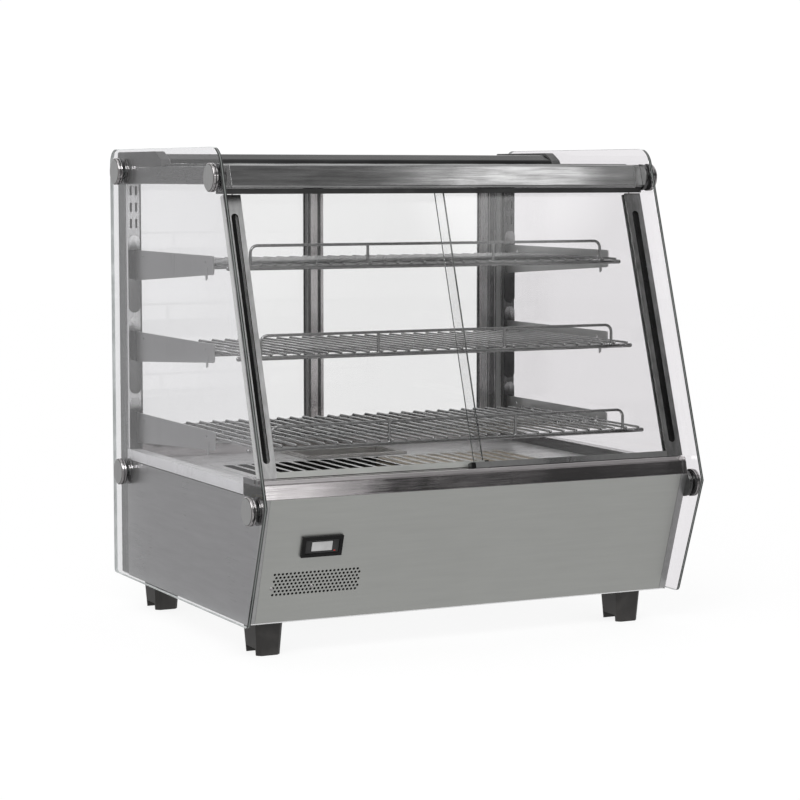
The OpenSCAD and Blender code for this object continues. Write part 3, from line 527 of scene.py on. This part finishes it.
PLATE_T = 1.8 * MM              # depth at the rear of a bracket that belongs to its mounting plate


def bracket_face(plate_front):
    """Material rule of a bracket: 0 its arm, 1 its mounting plate."""
    def rule(face):
        return 1 if face.calc_center_median().y > plate_front else 0
    return rule


for tier in ("lower", "middle", "upper"):
    _, bracket_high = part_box("brackets_" + tier)
    eased("brackets_" + tier, ("bracket", "plate"), width=THIN_EDGE, segments=1,
          face_rule=bracket_face(bracket_high.y - PLATE_T))


def reach(node, direction):
    """How far a CAD node reaches along a direction."""
    return max(direction.dot(v.co) for v in frame["nodes"][node].data.vertices)


RECESS_IN = 13 * MM             # middle of a front stile's finger recess, from the door's outer edge
RECESS_HALF = 5.6 * MM          # half its width
RECESS_END = 12 * MM            # the recess stops well short of the stile's ends
END_BLOCK = 6.5 * MM            # black block at the meeting end of a front door's lower profile
PROFILE_TOP = 16 * MM           # height of the lower profile
STILE_W = 25 * MM


def front_door_look(side):
    """0 stile, 1 its outer side in a paler painted reflection, 2 black recess as painted shade and end block,
    3 lower profile. Side is -1 or 1.
    """
    node = "front_door_left_frame" if side < 0 else "front_door_right_frame"
    low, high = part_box(node)
    outer, meeting = (low.x, high.x) if side < 0 else (high.x, low.x)
    forward = Vector((0, -math.cos(LEAN), math.sin(LEAN)))
    front = reach(node, forward)
    block_edge = meeting + side * END_BLOCK
    stile_edge = outer - side * STILE_W

    def rule(face):
        middle = face.calc_center_median()
        if side * face.normal.x > 0.9 and abs(middle.x - outer) < 1 * MM:
            return 1
        in_recess = abs(abs(outer - middle.x) - RECESS_IN) < RECESS_HALF
        deep = front - forward.dot(middle) > 0.8 * MM and face.normal.dot(forward) > -0.5
        # painted shade: the deep faces of the finger recess turn black
        if in_recess and deep and low.z + RECESS_END < middle.z < high.z - RECESS_END:
            return 2
        if side * (block_edge - middle.x) > -0.01 * MM:
            return 2
        return 3 if middle.z < low.z + PROFILE_TOP and abs(outer - middle.x) > STILE_W else 0

    return rule, (block_edge, stile_edge)


# painted light and shade: the left lower profile takes the light front steel, the right one the darker side
# bar steel
for side, name, profile in ((-1, "left", "front"), (1, "right", "side_bar")):
    look, cuts = front_door_look(side)
    eased("front_door_" + name + "_frame", (name + "_stile", "stile_side", "gloss", profile),
          width=SHEET_EDGE, face_rule=look, cuts=cuts)
for node in ("rear_door_left_frame", "rear_door_right_frame"):
    eased(node, ("rear_stile", "edge"), width=SHEET_EDGE)


RIB_END = 10 * MM               # the ribs stop short of the stile's ends
OUTER_STILE_W = 30 * MM
# ribs of the rear door's drawn profile, from a stile's left edge, in mm: start, end, rise and material
# the light ribs are painted highlights
MEETING_RIBS = [
    (5.0, 16.0, 0.5, "rear_stile_light"), (17.2, 18.4, 0.9, "rear_stile"), (19.4, 20.4, 0.9, "rear_stile"),
    (21.4, 25.4, 0.5, "rear_stile_light"),
]
OUTER_RIBS = [
    (1.0, 3.0, 0.9, "rear_stile_light"), (3.5, 14.0, 0.4, "frame"), (16.0, 17.2, 0.9, "frame"),
    (26.0, 27.2, 0.9, "frame"),
]


def rear_stile_ribs():
    """Light and dark ribs along the room side of the right rear door's two stiles; the light ones are painted
    highlights.
    """
    low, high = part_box("rear_door_right_frame")
    bm = bmesh.new()
    looks = []
    for edge, ribs in ((low.x, MEETING_RIBS), (high.x - OUTER_STILE_W, OUTER_RIBS)):
        for start, end, rise, look in ribs:
            if look not in looks:
                looks.append(look)
            made = block(bm, (edge + start * MM, low.y - rise * MM, low.z + RIB_END),
                         (edge + end * MM, low.y + 0.5 * MM, high.z - RIB_END))
            for face in {f for v in made for f in v.link_faces}:
                face.material_index = looks.index(look)
    piece("rear_door_right_ribs", bm, BODY_OF["rear_door_right_frame"], looks)


rear_stile_ribs()

PLASTIC_LOOKS = {
    "feet": ("foot", 0.8), "rear_header_caps": ("header_cap", 0.8), "header_track": ("black", 0.4),
    "rear_top_track": ("black", 0.4), "stud_washers": ("rubber", 0.2), "stud_spacers": ("dark", 0.6),
    "thermometer_display": ("lcd", 0.3), "thermostat_knob": ("black", 0.6),
    "thermostat_body": ("white", 0.6), "power_rocker": ("red", 0.4), "light_rocker": ("green", 0.4),
    "switch_frames": ("black", 0.4), "cable_gland": ("black", 0.4), "terminal_block": ("white", 0.4),
    "lamp_tube": ("lamp", 0.4), "case_screws": ("polished", 0.3),
}
for node, (look, width) in PLASTIC_LOOKS.items():
    eased(node, (look,), width=width)

HIDDEN_LOOKS = {
    "air_duct": "duct", "heat_baffle": "baffle", "heating_element": "element", "fan_motor": "motor",
    "fan_wheel": "motor", "insulation": "wool", "wiring_harness": "black", "stud_bolts": "polished",
}
for node, look in HIDDEN_LOOKS.items():
    for slot in frame["nodes"][node].material_slots:
        slot.material = M[look]

# ---------------------------------------------------------------- small fittings

# outline of a stud cap from the glass outwards: share of its radius, share of its thickness, material
CAP_OUTLINE = [
    (0.90, 0.00, 1), (0.90, 0.14, 1), (1.00, 0.16, 0), (1.00, 0.40, 0), (0.95, 0.42, 1), (0.95, 0.54, 1),
    (1.00, 0.56, 0), (1.00, 0.84, 0), (0.955, 0.93, 0), (0.94, 0.94, 1), (0.925, 0.94, 1), (0.91, 1.00, 2),
]
CAP_SIDES = 72


def islands(node):
    """The low and high corner of each separate solid of a CAD node."""
    bm = bmesh.new()
    bm.from_mesh(frame["nodes"][node].data)
    bmesh.ops.remove_doubles(bm, verts=bm.verts, dist=0.01 * MM)
    left = set(bm.verts)
    found = []
    while left:
        queue = [left.pop()]
        points = []
        while queue:
            v = queue.pop()
            points.append(v.co.copy())
            for e in v.link_edges:
                w = e.other_vert(v)
                if w in left:
                    left.remove(w)
                    queue.append(w)
        found.append([Vector(pick(p[i] for p in points) for i in range(3)) for pick in (min, max)])
    bm.free()
    return found


def stud_cap(bm, low, high):
    """A turned cap with two bright rims, a black groove between them and a flat satin face."""
    middle, radius = (low + high) / 2, (high.y - low.y) / 2
    side = math.copysign(1, middle.x)
    start = low.x if side > 0 else high.x
    thickness = side * (high.x - low.x)
    rings = []
    for share, depth, _ in CAP_OUTLINE:
        x, r = start + thickness * depth, radius * share
        rings.append([
            bm.verts.new((x, middle.y + r * math.cos(t), middle.z + r * math.sin(t)))
            for t in (2 * math.pi * k / CAP_SIDES for k in range(CAP_SIDES))
        ])
    for (a, b), (_, _, look) in zip(zip(rings, rings[1:]), CAP_OUTLINE):
        for k in range(CAP_SIDES):
            face = bm.faces.new((a[k], a[(k + 1) % CAP_SIDES], b[(k + 1) % CAP_SIDES], b[k]))
            face.material_index = look
    bm.faces.new(rings[0]).material_index = 1
    bm.faces.new(rings[-1]).material_index = 2


caps = bmesh.new()
for low, high in islands("stud_caps"):
    stud_cap(caps, low, high)
piece("stud_caps_turned", caps, "case", ("ring", "rubber", "cap_face"), crease=25,
      replaces=["stud_caps"])


OUTWARD = Vector((0, -math.cos(LEAN), -math.sin(LEAN)))      # out of the leaning base front
BEZEL_FRONT = reach("thermometer_bezel", OUTWARD)
PANEL_FRONT = reach("front_panel", OUTWARD)
bezel_low, bezel_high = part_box("thermometer_bezel")
METER_X = (bezel_low.x + bezel_high.x) / 2
METER_Z = bezel_low.z + 13.7 * MM
RECESS_DEPTH = 2 * MM           # of the meter's face inside its bezel
MARK_X = METER_X + 18.4 * MM    # the meter's red mark
MARK_Z = METER_Z - 6 * MM
SCREW_XS = (METER_X - 6.2 * MM, METER_X - 63.2 * MM)
SCREW_Z = METER_Z - 54.3 * MM
SCREW_R = 2.4 * MM
VENTS_X = METER_X - 0.3 * MM    # middle of the vent field
VENTS_Z = METER_Z - 48.6 * MM
SCREEN_DEPTH = 2.6 * MM         # middle of the black sheet behind the vents, painted shade, behind the panel's front face
SCREEN_HALF = Vector((68, 18, 0.4)) * MM
MARK_HALF = Vector((1.3, 0.6, 0.3)) * MM


def bezel_look(face):
    """0 glossy rim, 1 the grey face inside it."""
    depth = BEZEL_FRONT - OUTWARD.dot(face.calc_center_median())
    return 1 if face.normal.dot(OUTWARD) > 0.9 and 0.5 * MM < depth < 2 * RECESS_DEPTH else 0


eased("thermometer_bezel", ("gloss", "meter_face"), width=0.6, face_rule=bezel_look)


def on_front(x, z, level):
    """The point of the leaning front at this X and Z, on the plane with this reach outwards."""
    return Vector((x, -(level + math.sin(LEAN) * z) / math.cos(LEAN), z))


def front_details():
    """The meter's small red mark, two domed screws in the vent field and a black sheet behind it as painted
    shade.
    """
    turn = Matrix.Rotation(math.pi / 2 + LEAN, 4, "X")
    mark = bmesh.new()
    place = Matrix.Translation(on_front(MARK_X, MARK_Z, BEZEL_FRONT - RECESS_DEPTH))
    block(mark, -MARK_HALF, MARK_HALF, place @ turn)
    piece("meter_red_mark", mark, "case", ("red",))
    screws = bmesh.new()
    for x in SCREW_XS:
        place = Matrix.Translation(on_front(x, SCREW_Z, PANEL_FRONT))
        bmesh.ops.create_uvsphere(
            screws, u_segments=20, v_segments=10, radius=SCREW_R,
            matrix=place @ turn @ Matrix.Diagonal((1, 1, 0.45, 1)),
        )
    piece("vent_field_screws", screws, "case", ("ring",))
    # painted shade: a black sheet behind the vents
    screen = bmesh.new()
    place = Matrix.Translation(on_front(VENTS_X, VENTS_Z, PANEL_FRONT - SCREEN_DEPTH))
    block(screen, -SCREEN_HALF, SCREEN_HALF, place @ turn)
    piece("vent_shade_sheet", screen, "case", ("painted_shade_black",))


SEAM_PROUD = 0.15 * MM          # how far the black strip in the joint stands out of the side


def ledge_seams():
    """A black strip in the joint between each side ledge and the side panel below it, as painted shade for
    the gap.
    """
    low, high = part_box("side_ledges")
    bm = bmesh.new()
    for side in (-1, 1):
        edges = sorted((side * (high.x - 1 * MM), side * (high.x + SEAM_PROUD)))
        block(bm, (edges[0], low.y + 1 * MM, low.z - 0.8 * MM), (edges[1], high.y, low.z + 0.6 * MM))
    piece("ledge_seams", bm, "case", ("rubber",))


front_details()
ledge_seams()

# ---------------------------------------------------------------- wire shelves

WIRE_R = 1.7 * MM
BAR_R = 3.0 * MM
GUARD_R = 2.0 * MM
WIRE_COUNT = 30
WIRE_INSET = 9 * MM             # of the outermost wires
WIRE_BEND = 2.4 * MM
GUARD_X = 270 * MM              # of a guard rail's bent ends
GUARD_POST_X = 97 * MM
GUARD_BEND = 10 * MM
NEAR_BAR_IN = 23 * MM           # from the bracket's front end to the bar that rests on it
REAR_BAR_IN = 26 * MM


def wire_shelf(tier):
    """Cross bars with domed ends below, wires above that bend down over the rear bar."""
    low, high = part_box("shelf_" + tier)
    bracket_low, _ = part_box("brackets_" + tier)
    z = low.z + BAR_R
    top = high.z - WIRE_R
    half = high.x
    front, rear = low.y + BAR_R, high.y - BAR_R
    near, far = bracket_low.y + NEAR_BAR_IN, rear - REAR_BAR_IN
    bm = bmesh.new()
    for y in (front, near, (near + far) / 2, far, rear):
        sweep(bm, [(-half + BAR_R * 0.7, y, z), (half - BAR_R * 0.7, y, z)], BAR_R, sides=18)
    for k in range(WIRE_COUNT):
        x = -half + WIRE_INSET + k * 2 * (half - WIRE_INSET) / (WIRE_COUNT - 1)
        end = rear + BAR_R - WIRE_R
        corners = [(x, front - BAR_R + WIRE_R, top), (x, end, top), (x, end, z - BAR_R * 0.4)]
        sweep(bm, wire_path(corners, WIRE_BEND), WIRE_R, sides=12)
    piece("wire_shelf_" + tier, bm, "case", ("wire",), crease=60, replaces=["shelf_" + tier])


def guard_rail(tier):
    """A wire bent at both ends with two posts, welded to the shelf's front bar."""
    low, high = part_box("shelf_" + tier)
    _, guard_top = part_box("shelf_guards")
    upper_low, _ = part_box("shelf_upper")
    rise = guard_top.z - GUARD_R - upper_low.z
    y, foot_z, top = low.y + BAR_R, low.z + 2 * BAR_R - 0.3 * MM, low.z + rise
    bm = bmesh.new()
    corners = [(-GUARD_X, y, foot_z), (-GUARD_X, y, top), (GUARD_X, y, top), (GUARD_X, y, foot_z)]
    sweep(bm, wire_path(corners, GUARD_BEND), GUARD_R, round_ends=False)
    for x in (-GUARD_POST_X, GUARD_POST_X):
        sweep(bm, [(x, y, foot_z), (x, y, top)], GUARD_R, round_ends=False)
    for x in (-GUARD_X, -GUARD_POST_X, GUARD_POST_X, GUARD_X):
        bmesh.ops.create_uvsphere(
            bm, u_segments=12, v_segments=8, radius=GUARD_R * 1.5,
            matrix=Matrix.Translation((x, y, foot_z)) @ Matrix.Diagonal((1, 1, 0.6, 1)),
        )
    piece("guard_rail_" + tier, bm, "case", ("wire",), crease=60, replaces=["shelf_guards"])


for tier in ("lower", "middle", "upper"):
    wire_shelf(tier)
    guard_rail(tier)


# ---------------------------------------------------------------- studio

FLOOR_R = 9.0
GLOW_FROM_TO = (0.3, 1.4)       # the floor's shadows fade out between these distances
GLOW_LEAST = 0.85


def floor():
    """A pale disc that fades into the white surround."""
    bm = bmesh.new()
    bmesh.ops.create_circle(bm, cap_ends=True, segments=96, radius=FLOOR_R)
    mesh = bpy.data.meshes.new("studio_floor")
    bm.to_mesh(mesh)
    bm.free()
    s = Shader("pale_floor")
    drift = s.noise(1.5, detail=3)
    s.finish(s.blend(drift, grey(0.90), grey(0.93)), s.remap(drift, *FINE_SPAN, 0.7, 0.8))
    distance = s.add("ShaderNodeVectorMath", operation="LENGTH")
    s.link(s.place, distance.inputs[0])
    glow = s.add("ShaderNodeEmission")
    mix = s.add("ShaderNodeMixShader")
    s.link(s.remap(distance.outputs["Value"], *GLOW_FROM_TO, GLOW_LEAST, 1), mix.inputs["Fac"])
    s.link(s.bsdf.outputs["BSDF"], mix.inputs[1])
    s.link(glow.outputs["Emission"], mix.inputs[2])
    s.link(mix.outputs["Shader"], s.tree.nodes["Material Output"].inputs["Surface"])
    mesh.materials.append(s.mat)
    obj = bpy.data.objects.new("studio_floor", mesh)
    bpy.context.scene.collection.objects.link(obj)
    obj.visible_glossy = False


def surround():
    """White for the eye and for matt surfaces. Bright metal mirrors a grey room with soft light panels."""
    world = bpy.data.worlds.new("studio")
    bpy.context.scene.world = world
    world.use_nodes = True
    world.cycles.sampling_method = "NONE"
    tree = world.node_tree
    nodes, links = tree.nodes, tree.links
    direction = nodes.new("ShaderNodeTexCoord").outputs["Generated"]

    def maths(operation, a, b):
        node = nodes.new("ShaderNodeMath")
        node.operation = operation
        for value, socket in ((a, node.inputs[0]), (b, node.inputs[1])):
            if isinstance(value, (int, float)):
                socket.default_value = value
            else:
                links.new(value, socket)
        return node.outputs["Value"]

    def panel(azimuth, elevation, spread, soft, strength):
        """A round soft patch of light or, below zero, of shade. Azimuth is from the front towards +X."""
        a, e = math.radians(azimuth), math.radians(elevation)
        node = nodes.new("ShaderNodeVectorMath")
        node.operation = "DOT_PRODUCT"
        links.new(direction, node.inputs[0])
        node.inputs[1].default_value = (math.sin(a) * math.cos(e), -math.cos(a) * math.cos(e), math.sin(e))
        ramp = nodes.new("ShaderNodeMapRange")
        ramp.interpolation_type = "SMOOTHSTEP"
        links.new(node.outputs["Value"], ramp.inputs["Value"])
        ramp.inputs["From Min"].default_value = math.cos(math.radians(spread + soft))
        ramp.inputs["From Max"].default_value = math.cos(math.radians(spread))
        return maths("MULTIPLY", ramp.outputs["Result"], strength)

    height = nodes.new("ShaderNodeSeparateXYZ")
    links.new(direction, height.inputs["Vector"])
    room = nodes.new("ShaderNodeMapRange")
    links.new(height.outputs["Z"], room.inputs["Value"])
    for key, number in zip(("From Min", "From Max", "To Min", "To Max"), (0.0, 0.95, ROOM_LOW, ROOM_HIGH)):
        room.inputs[key].default_value = number
    total = room.outputs["Result"]
    for spec in ROOM_PANELS:
        total = maths("ADD", total, panel(*spec))
    total = maths("MAXIMUM", total, ROOM_DARKEST)
    rays = nodes.new("ShaderNodeLightPath")
    mix = nodes.new("ShaderNodeMix")
    links.new(rays.outputs["Is Glossy Ray"], mix.inputs["Factor"])
    mix.inputs["A"].default_value = SEEN_WHITE
    links.new(total, mix.inputs["B"])
    background = nodes["Background"]
    grey_level = nodes.new("ShaderNodeCombineColor")
    for key in ("Red", "Green", "Blue"):
        links.new(mix.outputs["Result"], grey_level.inputs[key])
    links.new(grey_level.outputs["Color"], background.inputs["Color"])


SEEN_WHITE = 1.02
ROOM_DARKEST = 0.02
ROOM_LOW, ROOM_HIGH = 0.40, 0.85    # brightness of the mirrored room at the horizon and overhead
# azimuth from the front towards the right, elevation, half width, softness, strength
ROOM_PANELS = [
    (33, 31, 9, 6, -0.45),          # the header rail
    (34.3, 30.8, 0.8, 1.9, 1.55),   # its bright patch, right of the middle
    (31, 15.3, 5.5, 2.5, -0.47),    # the sill
    (22.3, 16.5, 2.3, 1.2, 1.50),   # its bright left end
    (24.5, 25.5, 2.0, 2, 0.25),     # the left front door's stile and lower profile
    (30.5, 24, 4.5, 3, -0.40),      # a dark flag, mirrored in the front doors' panes
    (35.5, 24, 3, 3, -0.52),        # the right front door's
    (53, 48, 5, 6, -0.42),          # the sill's top, darker to the right
    (16, -3, 4, 3, 1.05),           # the left standard
    (30, -2, 3.5, 3, -0.28),        # the right standard
    (35, -40, 12, 20, 0.06),        # the front panel
    (160, 8, 20, 10, 0.70),         # the deck
    (20, 70, 5, 5, 1.60),           # highlights along the wires
    (-95, 30, 10, 8, 1.50),         # a soft box on the left
    (0, 90, 14, 6, 1.50),           # the ceiling
]


def key_light():
    """One large soft light from the upper left front."""
    lamp = bpy.data.lights.new("key", "AREA")
    lamp.shape = "RECTANGLE"
    lamp.size, lamp.size_y, lamp.energy = 1.6, 1.2, 38
    obj = bpy.data.objects.new("key", lamp)
    obj.location = (-1.6, -1.8, 2.2)
    aim = Vector((0, 0, 0.3)) - Vector(obj.location)
    obj.rotation_euler = aim.to_track_quat("-Z", "Y").to_euler()
    obj.visible_camera = False
    bpy.context.scene.collection.objects.link(obj)


def camera():
    """Stands to the left of the front, a little above the middle of the case."""
    middle = (cad_low + cad_high) / 2
    aim = middle + Vector((-9, -20, -21)) * MM
    heading, drop, distance = math.radians(26.32), math.radians(5.34), 3.4
    look = Vector((math.sin(heading) * math.cos(drop), math.cos(heading) * math.cos(drop), -math.sin(drop)))
    data = bpy.data.cameras.new("camera")
    data.sensor_width, data.lens = 36.0, 108.2
    data.clip_start, data.clip_end = 0.05, 50
    obj = bpy.data.objects.new("camera", data)
    obj.location = aim - look * distance
    obj.rotation_euler = look.to_track_quat("-Z", "Y").to_euler()
    bpy.context.scene.collection.objects.link(obj)
    bpy.context.scene.camera = obj


floor()
surround()
key_light()
camera()
bpy.context.scene.view_settings.view_transform = "Standard"
